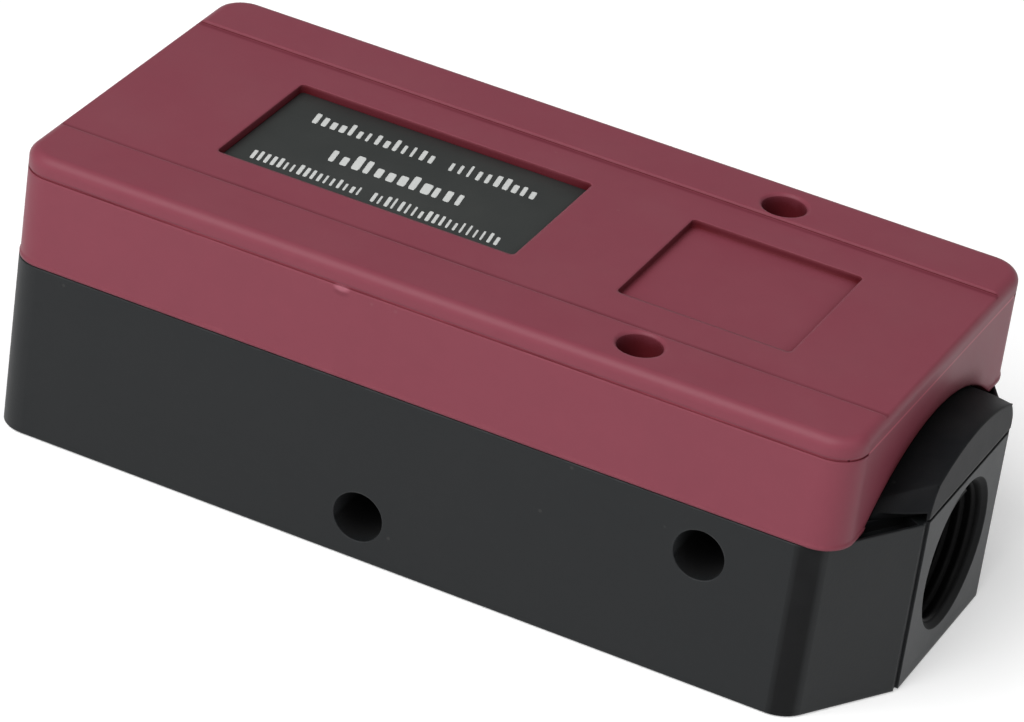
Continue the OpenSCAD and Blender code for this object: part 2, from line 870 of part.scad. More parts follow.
// One nozzle, turned about its jet: a bell mouth, a throat and a slow diffuser
module nozzle(i) {
    tails = [for (k = [0:3]) k < 3
        ? partition_x[k + 1] - flange_t - jet_gap
        : block_x - block_wall - 2 * jet_gap];
    barrel_l = flange_t + partition_t;
    length = tails[i] - partition_x[i] + flange_t;
    mouth_r = min(throat_r[i] + 1.2, flange_r - 0.9);
    throat_at = flange_t + 0.5;
    seat = flange_t + partition_t / 2;
    color(BRASS)
    centred()
    translate([partition_x[i] - flange_t, 0, nozzle_z])
        rotate([0, 90, 0])
            rotate_extrude()
                difference() {
                    polygon([[mouth_r, 0], [flange_r, 0], [flange_r, flange_t],
                             [barrel_r, flange_t], [barrel_r, barrel_l],
                             [tail_r[i] + 0.4, barrel_l], [tail_r[i], length - 0.6],
                             [tail_r[i] - 0.3, length], [throat_r[i] + 0.45, length],
                             [throat_r[i], throat_at + 3], [throat_r[i], throat_at],
                             [throat_r[i] + 0.35, 0.8]]);
                    translate([barrel_r + fit_gap - 2 * seal_r, seat - seal_r - fit_gap / 2])
                        square([2 * seal_r + 1, 2 * seal_r + fit_gap]);
                }
}

// ---- Check flaps ----

module check_flap(i) {
    color(RUBBER)
    centred()
    translate([hinge_x[i], 0, hinge_z]) {
        rotate([90, 0, 0])
            cylinder(r = bead_r, h = flap_w, center = true);
        span(0, flap_l, -flap_w / 2, flap_w / 2, -flap_t, 0);
    }
}

// ---- Silencer ----

module silencer_bar(side) {
    x0 = -block_x + block_wall + 2 * boss_r;
    x1 = screw_x - boss_r - 1;
    color(FELT)
    centred()
    mirror([0, side < 0 ? 1 : 0, 0])
        span(x0, x1, channel_out + bar_gap, lane_y - bar_gap, deck_z, block_top - bar_gap);
}

// ---- Screws ----

// A cross-recessed pan-head screw that hangs down from its head
module screw(length) {
    slot = 0.7;
    difference() {
        union() {
            intersection() {
                cylinder(r = head_r, h = head_h);
                translate([0, 0, head_h - 2.5 * head_r])
                    sphere(r = 2.5 * head_r);
            }
            translate([0, 0, -length + screw_r])
                cylinder(r = screw_r, h = length - screw_r + eps);
            translate([0, 0, -length])
                cylinder(r1 = 0.3, r2 = screw_r, h = screw_r);
        }
        for (turn = [45, 135])
            rotate([0, 0, turn])
                translate([0, 0, head_h])
                    cube([1.3 * head_r, slot, head_h], center = true);
    }
}

module cover_screw(side) {
    seat_z = top_z - head_sunk - head_h;
    color(STEEL)
    centred()
    translate([screw_x, side * screw_y, seat_z])
        screw(seat_z - body_h + screw_bite - 0.5);
}

module block_screw(i) {
    seat_z = foot_sunk + head_h;
    color(STEEL)
    centred()
    translate(block_screw_at(i) + [0, 0, seat_z])
        mirror([0, 0, 1])
            screw(body_h - seat_z + block_bite - 0.5);
}

lower_body();
nozzle_block();
top_cover();
nameplate();
body_gasket();
cover_gasket();
riser_seal();
inlet_insert();
inlet_strainer();
for (i = [0:3]) {
    nozzle(i);
    nozzle_seal(i);
    block_screw(i);
}
for (i = [0:2])
    check_flap(i);
silencer_bar(-1);  // silencer_bar_near
silencer_bar(1);  // silencer_bar_far
cover_screw(-1);  // cover_screw_near
cover_screw(1);  // cover_screw_far
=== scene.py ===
"""Finishes the vacuum ejector: moulded housing, port threads, nameplate and the parts inside."""
import math

import bpy
from mathutils import Matrix, Vector


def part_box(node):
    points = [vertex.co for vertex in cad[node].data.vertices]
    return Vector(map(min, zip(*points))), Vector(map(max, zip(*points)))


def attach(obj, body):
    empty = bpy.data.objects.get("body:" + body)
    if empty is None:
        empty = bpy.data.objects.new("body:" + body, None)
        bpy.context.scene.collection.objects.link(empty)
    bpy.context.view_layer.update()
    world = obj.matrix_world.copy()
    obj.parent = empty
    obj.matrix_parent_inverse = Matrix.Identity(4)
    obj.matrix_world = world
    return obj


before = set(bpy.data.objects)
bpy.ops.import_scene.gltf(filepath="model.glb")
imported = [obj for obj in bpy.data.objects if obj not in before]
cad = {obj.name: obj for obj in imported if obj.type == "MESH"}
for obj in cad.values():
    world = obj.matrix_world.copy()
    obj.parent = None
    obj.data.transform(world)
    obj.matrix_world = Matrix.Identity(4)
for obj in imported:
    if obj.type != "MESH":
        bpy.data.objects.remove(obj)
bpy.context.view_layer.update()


# ---- Lower body ----
# Black glass-filled nylon, moulded in one piece with a fine spark-eroded grain.
# Four long screws from below hold it to the nozzle block.

def add_node(tree, kind, inputs=None, **settings):
    """One shader or geometry node, with its sockets set or joined by name or number."""
    made = tree.nodes.new(kind)
    for key, value in settings.items():
        setattr(made, key, value)
    for key, value in (inputs or {}).items():
        socket = made.inputs[key]
        if isinstance(value, bpy.types.NodeSocket):
            tree.links.new(value, socket)
        else:
            socket.default_value = value
    return made


def maths(tree, operation, *values):
    """The result of one Math node."""
    return add_node(tree, "ShaderNodeMath", dict(enumerate(values)), operation=operation).outputs[0]


def product(tree, *values):
    """Several values multiplied together."""
    result = values[0]
    for value in values[1:]:
        result = maths(tree, "MULTIPLY", result, value)
    return result


def noise(tree, place, scale, detail=3.0, roughness=0.55):
    """The grey value of a noise texture."""
    return add_node(tree, "ShaderNodeTexNoise", {
        "Vector": place, "Scale": scale, "Detail": detail, "Roughness": roughness}).outputs["Fac"]


def ramp(tree, value, low, high, to_low=0.0, to_high=1.0):
    """A value stretched from one range to another and held inside it."""
    return add_node(tree, "ShaderNodeMapRange", {
        "Value": value, "From Min": low, "From Max": high, "To Min": to_low, "To Max": to_high}).outputs[0]


def mix_colour(tree, factor, below, above):
    """One colour laid over another."""
    return add_node(tree, "ShaderNodeMix", {0: factor, 6: below, 7: above}, data_type="RGBA").outputs[2]


def here(tree):
    """The place in the part's own frame."""
    return add_node(tree, "ShaderNodeTexCoord").outputs["Object"]


def facing(tree):
    """The way the surface faces, before any rounding or relief."""
    return add_node(tree, "ShaderNodeNewGeometry").outputs["Normal"]


def split(tree, vector):
    """A vector's X, Y and Z."""
    return add_node(tree, "ShaderNodeSeparateXYZ", {0: vector}).outputs


def from_axis(tree, place, height):
    """Distance from an axis that lies along X at a given height."""
    rise = maths(tree, "SUBTRACT", place["Z"], height)
    across = maths(tree, "MULTIPLY", place["Y"], place["Y"])
    return maths(tree, "SQRT", maths(tree, "MULTIPLY_ADD", rise, rise, across))


def new_group(name, inputs, outputs):
    """A shader node group whose inputs carry their defaults; returns its tree and its two ends."""
    tree = bpy.data.node_groups.new(name, "ShaderNodeTree")
    for label, kind, value in inputs:
        tree.interface.new_socket(label, in_out="INPUT", socket_type=kind).default_value = value
    for label, kind in outputs:
        tree.interface.new_socket(label, in_out="OUTPUT", socket_type=kind)
    return tree, tree.nodes.new("NodeGroupInput").outputs, tree.nodes.new("NodeGroupOutput").inputs


FLOAT, COLOUR = "NodeSocketFloat", "NodeSocketColor"


def srgb(red, green, blue):
    """A colour given as it is seen, from 0 to 255, as linear light."""
    def linear(c):
        c /= 255
        return c / 12.92 if c <= 0.04045 else ((c + 0.055) / 1.055) ** 2.4
    return (linear(red), linear(green), linear(blue), 1.0)


def build_moulding_grain():
    """Grain of a moulded face, with slow flow variation in its tone and gloss."""
    tree, given, out = new_group(
        "moulding_grain",
        [("Tone", COLOUR, (0.5, 0.5, 0.5, 1)), ("Tone Spread", FLOAT, 0.1), ("Gloss Spread", FLOAT, 0.06),
         ("Roughness", FLOAT, 0.45), ("Grain Scale", FLOAT, 2500.0)],
        [("Colour", COLOUR), ("Roughness", FLOAT), ("Height", FLOAT)])
    place = here(tree)
    flow = noise(tree, place, 38.0)
    mottle = noise(tree, place, 420.0, 4.0, 0.6)
    swing = maths(tree, "SUBTRACT", maths(tree, "ADD", flow, mottle), 1.0)
    value = maths(tree, "MULTIPLY_ADD", swing, given["Tone Spread"], 1.0)
    shade = add_node(tree, "ShaderNodeHueSaturation", {"Color": given["Tone"], "Value": value})
    tree.links.new(shade.outputs["Color"], out["Colour"])
    gloss = maths(tree, "MULTIPLY_ADD", swing, given["Gloss Spread"], given["Roughness"])
    tree.links.new(gloss, out["Roughness"])
    tree.links.new(noise(tree, place, given["Grain Scale"], 2.0, 0.7), out["Height"])
    return tree


def build_edge_wear_and_sheen():
    """Mask of the edges laid paler, for wear and a painted highlight together: where a rounded normal leaves
    the face's own, broken up by noise.
    """
    tree, given, out = new_group(
        "edge_wear", [("Width", FLOAT, 0.0004), ("Amount", FLOAT, 0.5), ("Break Up", FLOAT, 260.0)],
        [("Mask", FLOAT)])
    place = here(tree)
    rounded = add_node(tree, "ShaderNodeBevel", {"Radius": given["Width"]}, samples=6).outputs[0]
    face = facing(tree)
    alike = add_node(tree, "ShaderNodeVectorMath", {0: rounded, 1: face}, operation="DOT_PRODUCT")
    edge = ramp(tree, alike.outputs["Value"], 0.98, 0.86)
    patch = ramp(tree, noise(tree, place, given["Break Up"], 4.0, 0.65), 0.42, 0.62, 0.15, 1.0)
    tree.links.new(product(tree, edge, patch, given["Amount"]), out["Mask"])
    return tree


def build_settled_dust():
    """Mask of fine dust: thin on faces that look up, in drifting patches, with a few specks."""
    tree, given, out = new_group("settled_dust", [("Amount", FLOAT, 0.06), ("Specks", FLOAT, 0.25)],
                                 [("Mask", FLOAT)])
    place = here(tree)
    upward = ramp(tree, split(tree, facing(tree))["Z"], 0.1, 1.0, 0.15, 1.0)
    drift = ramp(tree, noise(tree, place, 90.0, 5.0, 0.65), 0.4, 0.75)
    cells = add_node(tree, "ShaderNodeTexVoronoi", {"Vector": place, "Scale": 340.0, "Randomness": 1.0})
    dots = ramp(tree, cells.outputs["Distance"], 0.09, 0.05)
    chosen = maths(tree, "GREATER_THAN", add_node(
        tree, "ShaderNodeSeparateColor", {0: cells.outputs["Color"]}).outputs[0], 0.93)
    specks = product(tree, dots, chosen, given["Specks"])
    film = product(tree, drift, upward, given["Amount"])
    tree.links.new(maths(tree, "MAXIMUM", film, specks), out["Mask"])
    return tree


def build_crevice_shade(name, own_shape_only):
    """Mask of painted shade in inside corners and in deep bores."""
    tree, given, out = new_group(name, [("Reach", FLOAT, 0.0015), ("Amount", FLOAT, 0.7)], [("Mask", FLOAT)])
    bore_reach = 0.02
    corner, bore = [
        add_node(tree, "ShaderNodeAmbientOcclusion", {"Distance": reach}, samples=8,
                 only_local=own_shape_only).outputs["AO"]
        for reach in (given["Reach"], bore_reach)]
    corner_shade = maths(tree, "MULTIPLY", ramp(tree, corner, 0.88, 0.42), given["Amount"])
    tree.links.new(maths(tree, "MAXIMUM", corner_shade, ramp(tree, bore, 0.5, 0.36, 0.0, 0.95)), out["Mask"])
    return tree


def build_strip():
    """Mask of a soft-edged strip between two values, broken up along its length by noise."""
    tree, given, out = new_group(
        "strip", [("Value", FLOAT, 0.0), ("Low", FLOAT, 0.0), ("High", FLOAT, 0.001),
                  ("Softness", FLOAT, 0.0001), ("Amount", FLOAT, 0.5)], [("Mask", FLOAT)])
    place = here(tree)
    rise = maths(tree, "DIVIDE", maths(tree, "SUBTRACT", given["Value"], given["Low"]), given["Softness"])
    fall = maths(tree, "DIVIDE", maths(tree, "SUBTRACT", given["High"], given["Value"]), given["Softness"])
    inside = ramp(tree, maths(tree, "MINIMUM", rise, fall), 0.0, 1.0)
    uneven = ramp(tree, noise(tree, place, 60.0), 0.35, 0.6, 0.6, 1.0)
    tree.links.new(product(tree, inside, uneven, given["Amount"]), out["Mask"])
    return tree


moulding_grain = build_moulding_grain()
# Painted shade: these masks darken corners and bores. The first reads every part, the second only the part
# itself.
crevice_shade = build_crevice_shade("crevice_shade", False)
own_crevice_shade = build_crevice_shade("own_crevice_shade", True)
edge_wear = build_edge_wear_and_sheen()
settled_dust = build_settled_dust()
strip = build_strip()


def place_group(tree, group, **inputs):
    """A group placed in a material; an input's spaces are written as underscores."""
    values = {key.replace("_", " "): value for key, value in inputs.items()}
    return add_node(tree, "ShaderNodeGroup", values, node_tree=group).outputs


def new_material(name):
    """A material with its Principled shader; returns the material, its tree and the shader's inputs."""
    material = bpy.data.materials.new(name)
    material.use_nodes = True
    return material, material.node_tree, material.node_tree.nodes["Principled BSDF"].inputs


def relieve(tree, shader, height, depth, edge, samples=6):
    """Gives a material its fine relief, on a normal that rounds the edges."""
    rounded = add_node(tree, "ShaderNodeBevel", {"Radius": edge}, samples=samples).outputs[0]
    relief = add_node(tree, "ShaderNodeBump", {
        "Strength": 1.0, "Distance": depth, "Height": height, "Normal": rounded}).outputs[0]
    tree.links.new(relief, shader["Normal"])


def moulded(name, tone, spread, roughness, grain_scale, grain_depth, worn_sheen_tone, wear, deep, shade=0.7,
            reach=0.0015, dust=0.02, edge=0.0002, specular=0.5, hollows=crevice_shade, marks=()):
    """Moulded plastic or rubber: grained, paler along its edges for wear and a painted highlight, darker with
    painted shade in its inside corners and bores.

    Each mark is a function that gives a mask in the material, with the colour laid there and how
    much duller it is.
    """
    material, tree, shader = new_material(name)
    skin = place_group(tree, moulding_grain, Tone=tone, Tone_Spread=spread, Roughness=roughness,
                       Grain_Scale=grain_scale)
    # Paler edges: wear and a painted highlight together.
    wear_sheen_mask = place_group(tree, edge_wear, Amount=wear)["Mask"]
    dusty = place_group(tree, settled_dust, Amount=dust, Specks=2 * dust)["Mask"]
    colour = mix_colour(tree, wear_sheen_mask, skin["Colour"], worn_sheen_tone)
    colour = mix_colour(tree, dusty, colour, srgb(176, 172, 164))
    # Painted shade: the deep colour is laid where the crevice mask finds corners and bores.
    hollow = place_group(tree, hollows, Amount=shade, Reach=reach)["Mask"]
    colour = mix_colour(tree, hollow, colour, deep)
    dull = maths(tree, "MULTIPLY_ADD", maths(tree, "MAXIMUM", dusty, hollow), 0.5, skin["Roughness"])
    for mask, mark_colour, duller in marks:
        marked = mask(tree)
        colour = mix_colour(tree, marked, colour, mark_colour)
        dull = maths(tree, "MULTIPLY_ADD", marked, duller, dull)
    tree.links.new(colour, shader["Base Color"])
    tree.links.new(dull, shader["Roughness"])
    relieve(tree, shader, skin["Height"], grain_depth, edge, samples=8)
    shader["Specular IOR Level"].default_value = specular
    return material


def dress(nodes, material):
    """Gives CAD nodes their finish."""
    for node in nodes:
        cad[node].data.materials.clear()
        cad[node].data.materials.append(material)


def nose_bend_shade(tree):
    """Painted shade on the two upright bends where the sides turn in to the nose, laid darker and duller."""
    along = split(tree, facing(tree))["X"]
    return place_group(tree, strip, Value=along, Low=0.03, High=0.83, Softness=0.15, Amount=0.85)["Mask"]


def nose_face_light(tree):
    """Painted light: the end of the nose, laid a little paler."""
    along = split(tree, facing(tree))["X"]
    return place_group(tree, strip, Value=along, Low=0.93, High=1.2, Softness=0.05, Amount=0.6)["Mask"]


port_height = 0.0119
port_radius = 0.0083
port_foot = 0.035


def port_bore_shade(tree):
    """Painted shade in the bore of the port, from its chamfer inward."""
    place = split(tree, here(tree))
    radius = from_axis(tree, place, port_height)
    outer_end = maths(tree, "GREATER_THAN", place["X"], port_foot)
    return maths(tree, "MULTIPLY", outer_end, ramp(tree, radius, port_radius + 0.0003, port_radius))


# Painted shade in its corners, on the nose bends and in the port bore, and painted light on the nose's end
# face.
black_nylon = moulded(
    "black_nylon", srgb(18, 21, 23), spread=0.16, roughness=0.5, grain_scale=2600.0, grain_depth=0.000014,
    worn_sheen_tone=srgb(74, 76, 78), wear=0.3, deep=srgb(3, 3, 4), shade=0.5, edge=0.0003, specular=0.28,
    hollows=own_crevice_shade,
    marks=[(nose_bend_shade, srgb(2, 2, 3), 0.4), (nose_face_light, srgb(58, 60, 62), 0.0),
           (port_bore_shade, srgb(2, 2, 2), 0.5)])
dress(["lower_body"], black_nylon)


# ---- Port threads ----
# G3/8 in the nose and G1/8 in the brass insert: each a Whitworth ridge that
# winds in from the chamfer, from its major radius down to its minor one.

WHOLE, VECTOR, MATERIAL = "NodeSocketInt", "NodeSocketVector", "NodeSocketMaterial"


def new_geometry_tree(name, inputs):
    """A geometry tree with named inputs; returns the tree and what it is given."""
    tree = bpy.data.node_groups.new(name, "GeometryNodeTree")
    for label, kind in inputs:
        tree.interface.new_socket(label, in_out="INPUT", socket_type=kind)
    tree.interface.new_socket("Shape", in_out="OUTPUT", socket_type="NodeSocketGeometry")
    return tree, tree.nodes.new("NodeGroupInput").outputs


def end_geometry_tree(tree, shape, finish):
    """Ends a geometry tree with a real mesh in its material."""
    real = add_node(tree, "GeometryNodeRealizeInstances", {0: shape}).outputs[0]
    painted = add_node(tree, "GeometryNodeSetMaterial", {"Geometry": real, "Material": finish})
    tree.links.new(painted.outputs[0], tree.nodes.new("NodeGroupOutput").inputs["Shape"])


def build_thread_ridge():
    """A helical ridge about the X axis: a tooth swept along a helix, fading out at both ends."""
    tree, given = new_geometry_tree("thread_ridge", [
        ("Major Radius", FLOAT), ("Depth", FLOAT), ("Pitch", FLOAT), ("Turns", FLOAT), ("Start", VECTOR),
        ("Finish", MATERIAL)])
    length = maths(tree, "MULTIPLY", given["Pitch"], given["Turns"])
    helix = add_node(tree, "GeometryNodeCurveSpiral", {
        "Resolution": 64, "Rotations": given["Turns"], "Start Radius": given["Major Radius"],
        "End Radius": given["Major Radius"], "Height": length}).outputs[0]
    upright = add_node(tree, "GeometryNodeSetCurveNormal", {"Curve": helix}, mode="Z_UP").outputs[0]
    along = add_node(tree, "GeometryNodeSplineParameter").outputs["Factor"]
    near_end = maths(tree, "MINIMUM", along, maths(tree, "SUBTRACT", 1.0, along))
    fade = ramp(tree, maths(tree, "MULTIPLY", near_end, given["Turns"]), 0.0, 0.4, 0.02, 1.0)
    sized = add_node(tree, "GeometryNodeSetCurveRadius", {"Curve": upright, "Radius": fade}).outputs[0]
    foot = maths(tree, "MULTIPLY", given["Pitch"], 0.46)
    tip = maths(tree, "MULTIPLY", given["Pitch"], 0.08)
    rise = maths(tree, "MULTIPLY", given["Depth"], -1.0)
    sunk = maths(tree, "MULTIPLY", given["Depth"], 0.08)
    corners = [(sunk, maths(tree, "MULTIPLY", foot, -1.0)), (rise, maths(tree, "MULTIPLY", tip, -1.0)),
               (rise, tip), (sunk, foot)]
    points = [add_node(tree, "ShaderNodeCombineXYZ", {0: x, 1: y}).outputs[0] for x, y in corners]
    tooth = add_node(tree, "GeometryNodeCurvePrimitiveQuadrilateral", mode="POINTS")
    for number, point in enumerate(points):
        tree.links.new(point, tooth.inputs[f"Point {number + 1}"])
    swept = add_node(tree, "GeometryNodeCurveToMesh", {
        "Curve": sized, "Profile Curve": tooth.outputs[0], "Fill Caps": True})
    turned = add_node(tree, "GeometryNodeTransform", {
        "Geometry": swept.outputs[0], "Translation": given["Start"], "Rotation": (0, math.radians(-90), 0)})
    end_geometry_tree(tree, turned.outputs[0], given["Finish"])
    return tree


thread_ridge = build_thread_ridge()


def grown(name, tree, slot, **inputs):
    """Runs a geometry tree and keeps its result as a plain mesh that rides on the housing."""
    seed = bpy.data.objects.new(name + "_seed", bpy.data.meshes.new(name + "_seed"))
    bpy.context.scene.collection.objects.link(seed)
    modifier = seed.modifiers.new("tree", "NODES")
    modifier.node_group = tree
    for item in tree.interface.items_tree:
        key = item.name.replace(" ", "_")
        if item.in_out == "INPUT" and key in inputs:
            modifier[item.identifier] = inputs[key]
    seen = seed.evaluated_get(bpy.context.evaluated_depsgraph_get())
    mesh = bpy.data.meshes.new_from_object(seen)
    bpy.data.objects.remove(seed)
    mesh.name = name
    piece = bpy.data.objects.new(name, mesh)
    bpy.context.scene.collection.objects.link(piece)
    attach(piece, "housing")
    return piece


# The body's nylon laid much darker: painted shade inside the port, with strong painted shade in its corners.
thread_nylon = moulded(
    "thread_nylon", srgb(8, 8, 9), spread=0.16, roughness=0.5, grain_scale=2600.0, grain_depth=0.000006,
    worn_sheen_tone=srgb(30, 31, 32), wear=0.2, deep=srgb(2, 2, 2), shade=0.9, edge=0.0001, specular=0.12)
body_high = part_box("lower_body")[1]
grown("port_thread", thread_ridge, "body_plastic", Major_Radius=0.00834, Depth=0.00086, Pitch=0.001337,
      Turns=9.0, Start=(body_high.x - 0.0007, 0, port_height), Finish=thread_nylon)


# ---- Nozzle block ----
# The inner moulding, with the stage chambers in line and the seats of the nozzles and
# flaps. A blacker, smoother nylon, screwed down on the lower body. Only its arched hood
# shows.

# Painted shade: its crevice mask reaches 7 mm, so the hood is laid darker under the cover's overhang.
block_nylon = moulded(
    "block_nylon", srgb(25, 26, 28), spread=0.2, roughness=0.44, grain_scale=2600.0, grain_depth=0.00001,
    worn_sheen_tone=srgb(60, 61, 63), wear=0.3, deep=srgb(2, 2, 2), shade=0.95, reach=0.007, edge=0.0005, specular=0.05)
dress(["nozzle_block"], block_nylon)


# ---- Cover ----
# The lid over the nozzle block and the exhaust lanes: burgundy ABS with a satin finish.
# Two deep-sunk screws go down through the block and hold it to the body.

cover_low, cover_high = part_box("top_cover")
outer_skin = 0.0013
band_foot = cover_high.z - 0.0023
line_width = 0.0003
line_spill = 0.00001
panel_half_width = 0.0166
recess_top = cover_high.z - 0.0005
glint_x = -0.0128


def side_line_painted_light(tree):
    """Painted light in the fine groove under the upper band, laid over the shade the groove casts on itself.
    """
    place = split(tree, here(tree))
    line = place_group(tree, strip, Value=place["Z"], Low=band_foot - line_width - line_spill,
                       High=band_foot + line_spill, Softness=0.00003, Amount=0.8)["Mask"]
    middle, half_length = (cover_low.x + cover_high.x) / 2, (cover_high.x - cover_low.x) / 2
    from_middle = maths(tree, "ABSOLUTE", maths(tree, "SUBTRACT", place["X"], middle))
    past_end = maths(tree, "SUBTRACT", from_middle, half_length - outer_skin)
    past_side = maths(tree, "SUBTRACT", maths(tree, "ABSOLUTE", place["Y"]), cover_high.y - outer_skin)
    outside = maths(tree, "GREATER_THAN", maths(tree, "MAXIMUM", past_end, past_side), 0.0)
    return maths(tree, "MULTIPLY", line, outside)


def panel_edge_shade(tree):
    """Shade along the foot of both rails of the sunk panel."""
    place = split(tree, here(tree))
    foot = place_group(tree, strip, Value=maths(tree, "ABSOLUTE", place["Y"]), Low=panel_half_width - 0.0009,
                       High=panel_half_width + 0.00015, Softness=0.0005, Amount=0.6)["Mask"]
    return maths(tree, "MULTIPLY", foot, maths(tree, "GREATER_THAN", place["Z"], recess_top))


def painted_spot(x, z, length, height, amount):
    """A small soft patch of painted colour on the near side, at a given place."""
    def mask(tree):
        place = split(tree, here(tree))
        along = maths(tree, "DIVIDE", maths(tree, "SUBTRACT", place["X"], x), length)
        up = maths(tree, "DIVIDE", maths(tree, "SUBTRACT", place["Z"], z), height)
        away = maths(tree, "SQRT", maths(tree, "MULTIPLY_ADD", along, along, maths(tree, "MULTIPLY", up, up)))
        near = maths(tree, "MULTIPLY", maths(tree, "LESS_THAN", place["Y"], cover_low.y + 0.0005), amount)
        return maths(tree, "MULTIPLY", ramp(tree, away, 0.55, 0.25), near)
    return mask


# Painted shade: a dark red is laid in the cover's recesses, screw holes and corners, reaching 4 mm from them.
burgundy_abs = moulded(
    "burgundy_abs", srgb(127, 60, 73), spread=0.08, roughness=0.45, grain_scale=2200.0, grain_depth=0.000005,
    worn_sheen_tone=srgb(166, 92, 103), wear=0.2, deep=srgb(78, 2, 10), shade=0.95, reach=0.004, edge=0.00055,
    specular=0.2,
    marks=[(side_line_painted_light, srgb(182, 88, 104), 0.0), (panel_edge_shade, srgb(84, 18, 32), 0.2),
           # Painted shade, with a painted highlight just above it, on the near side under the upper band.
           (painted_spot(glint_x, 0.0326, length=0.0022, height=0.0009, amount=0.35), srgb(96, 34, 48), 0.0),
           (painted_spot(glint_x, 0.0332, length=0.0021, height=0.001, amount=0.5), srgb(186, 116, 130), 0.1)])
dress(["top_cover"], burgundy_abs)


# ---- Nameplate ----
# A dark film stuck down in the long recess of the cover, with plain light bars printed
# on it in three rows.

# Painted shade: a dark red is laid along the plate's edges in its recess, reaching 2.5 mm.
plate_film = moulded(
    "plate_film", srgb(46, 49, 48), spread=0.1, roughness=0.42, grain_scale=3000.0, grain_depth=0.000004,
    worn_sheen_tone=srgb(80, 82, 80), wear=0.1, deep=srgb(22, 8, 12), shade=0.9, reach=0.0025, specular=0.35)
dress(["nameplate"], plate_film)
print_ink = moulded(
    "print_ink", srgb(206, 208, 206), spread=0.08, roughness=0.5, grain_scale=5200.0, grain_depth=0.000004,
    worn_sheen_tone=srgb(190, 192, 190), wear=0.1, deep=srgb(120, 122, 120), shade=0.2)


def build_print_row():
    """One run of print: leaning bars on a line, each of its own width and height."""
    tree, given = new_geometry_tree("print_row", [
        ("Start", VECTOR), ("Length", FLOAT), ("Height", FLOAT), ("Bars", WHOLE), ("Weight", FLOAT),
        ("Lean", FLOAT), ("Ink", FLOAT), ("Seed", WHOLE), ("Finish", MATERIAL)])
    pitch = maths(tree, "DIVIDE", given["Length"], given["Bars"])
    step = add_node(tree, "ShaderNodeCombineXYZ", {0: pitch}).outputs[0]
    places = add_node(tree, "GeometryNodeMeshLine", {
        "Count": given["Bars"], "Start Location": given["Start"], "Offset": step}, mode="OFFSET").outputs[0]
    square = add_node(tree, "GeometryNodeCurvePrimitiveQuadrilateral", {"Width": 1.0, "Height": 1.0})
    rounded = add_node(tree, "GeometryNodeFilletCurve", {"Curve": square.outputs[0], "Radius": 0.12})
    seated = add_node(tree, "GeometryNodeTransform", {
        "Geometry": rounded.outputs[0], "Translation": (0.5, 0.5, 0)})
    face = add_node(tree, "GeometryNodeFillCurve", {"Curve": seated.outputs[0]}).outputs[0]
    bar = add_node(tree, "GeometryNodeExtrudeMesh", {"Mesh": face, "Offset Scale": given["Ink"]}).outputs[0]
    thinnest = maths(tree, "MULTIPLY", given["Weight"], 0.45)
    narrow = add_node(tree, "FunctionNodeRandomValue", {
        2: thinnest, 3: given["Weight"], "Seed": given["Seed"]}).outputs[1]
    short = add_node(tree, "FunctionNodeRandomValue", {
        2: 0.6, 3: 1.0, "Seed": maths(tree, "ADD", given["Seed"], 7)}).outputs[1]
    width = maths(tree, "MULTIPLY", pitch, narrow)
    tall = maths(tree, "MULTIPLY", given["Height"], short)
    size = add_node(tree, "ShaderNodeCombineXYZ", {0: width, 1: tall, 2: 1.0}).outputs[0]
    bars = add_node(tree, "GeometryNodeInstanceOnPoints", {"Points": places, "Instance": bar, "Scale": size})
    real = add_node(tree, "GeometryNodeRealizeInstances", {0: bars.outputs[0]}).outputs[0]
    point = add_node(tree, "GeometryNodeInputPosition").outputs[0]
    above = maths(tree, "SUBTRACT", split(tree, point)["Y"], split(tree, given["Start"])["Y"])
    slip = maths(tree, "MULTIPLY", above, given["Lean"])
    shift = add_node(tree, "ShaderNodeCombineXYZ", {0: slip}).outputs[0]
    sheared = add_node(tree, "GeometryNodeSetPosition", {"Geometry": real, "Offset": shift}).outputs[0]
    end_geometry_tree(tree, sheared, given["Finish"])
    return tree


print_row = build_print_row()
plate_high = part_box("nameplate")[1]
ink = 0.00003
for number, (start_x, start_y, length, height, bars, weight) in enumerate([
        (-0.0326, 0.0044, 0.0163, 0.0028, 14, 0.62), (-0.0147, 0.0043, 0.0115, 0.0028, 10, 0.62),
        (-0.0268, -0.0026, 0.0178, 0.0034, 12, 0.8),
        (-0.0342, -0.0078, 0.0146, 0.0025, 17, 0.6), (-0.0185, -0.0081, 0.0166, 0.0026, 19, 0.6)]):
    grown(f"print_bars_{number + 1}", print_row, "plate_film",
          Start=(start_x, start_y, plate_high.z - ink / 4), Length=length, Height=height, Bars=bars,
          Weight=weight, Lean=-0.16, Ink=ink, Seed=number, Finish=print_ink)


# ---- Air inlet ----
# A turned brass insert, moulded in at the closed end, with a sintered bronze
# strainer disc behind it.

